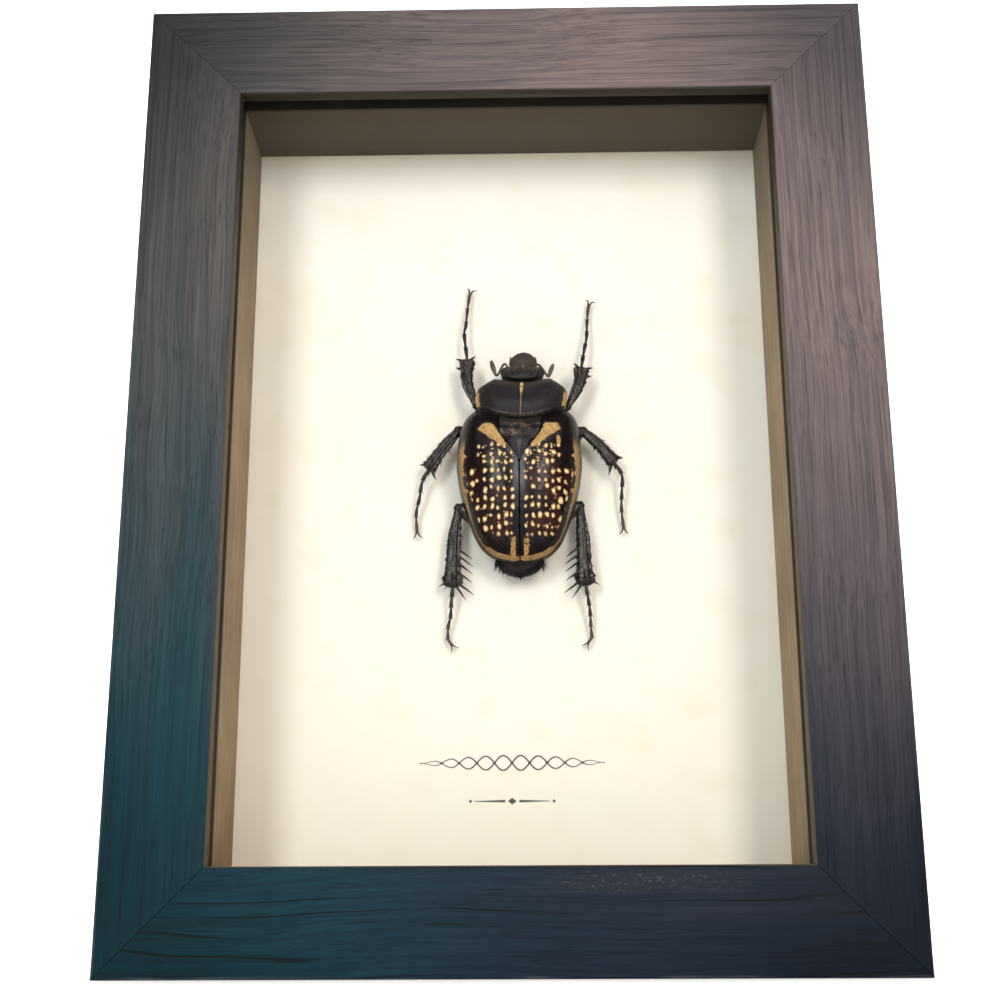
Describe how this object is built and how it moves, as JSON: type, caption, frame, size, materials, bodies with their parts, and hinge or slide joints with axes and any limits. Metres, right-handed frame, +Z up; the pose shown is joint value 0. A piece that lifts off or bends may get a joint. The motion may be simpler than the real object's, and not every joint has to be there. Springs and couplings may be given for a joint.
{
  "type": "framed flower beetle specimen",
  "caption": "Spotted flower beetle set with spread legs on an ivory card, behind glass in a dark stained shadow-box frame.",
  "frame": {"origin": "under the middle of the whole thing, on the surface that it stands on", "axes": "+X to the right seen from the front, +Y from the glass towards the back, +Z up"},
  "size_m": [0.152, 0.0402, 0.2],
  "materials": {
    "stained_wood": "blue-black stain over open grain, satin",
    "glass": "clear and polished",
    "spacer": "dark brown, matt",
    "card": "ivory, matt, faintly mottled, with a small printed ornament",
    "backing": "brown fibreboard, matt",
    "steel": "plain, slightly dull",
    "shell": "brown-black insect shell, satin, with ochre edges",
    "wing_case": "brown-black with rows of cream spots and ochre borders, satin",
    "limb": "dark brown, ridged and bristled"
  },
  "bodies": {
    "root": {"rail_top": "stained_wood", "rail_bottom": "stained_wood", "stile_left": "stained_wood", "stile_right": "stained_wood", "glass": "glass", "spacer_top": "spacer", "spacer_bottom": "spacer", "spacer_left": "spacer", "spacer_right": "spacer", "mount_card": "card", "backing_board": "backing", "hanger": "steel", "hanger_nail_left": "steel", "hanger_nail_right": "steel", "point_left_1": "steel", "point_left_2": "steel", "point_left_3": "steel", "point_right_1": "steel", "point_right_2": "steel", "point_right_3": "steel", "abdomen_and_thorax": "shell", "pronotum": "shell", "head": "shell", "scutellum": "shell", "wing_case_left": "wing_case", "wing_case_right": "wing_case", "antenna_left": "limb", "antenna_right": "limb", "front_leg_left": "limb", "front_leg_right": "limb", "middle_leg_left": "limb", "middle_leg_right": "limb", "hind_leg_left": "limb", "hind_leg_right": "limb"}
  },
  "joints": []
}
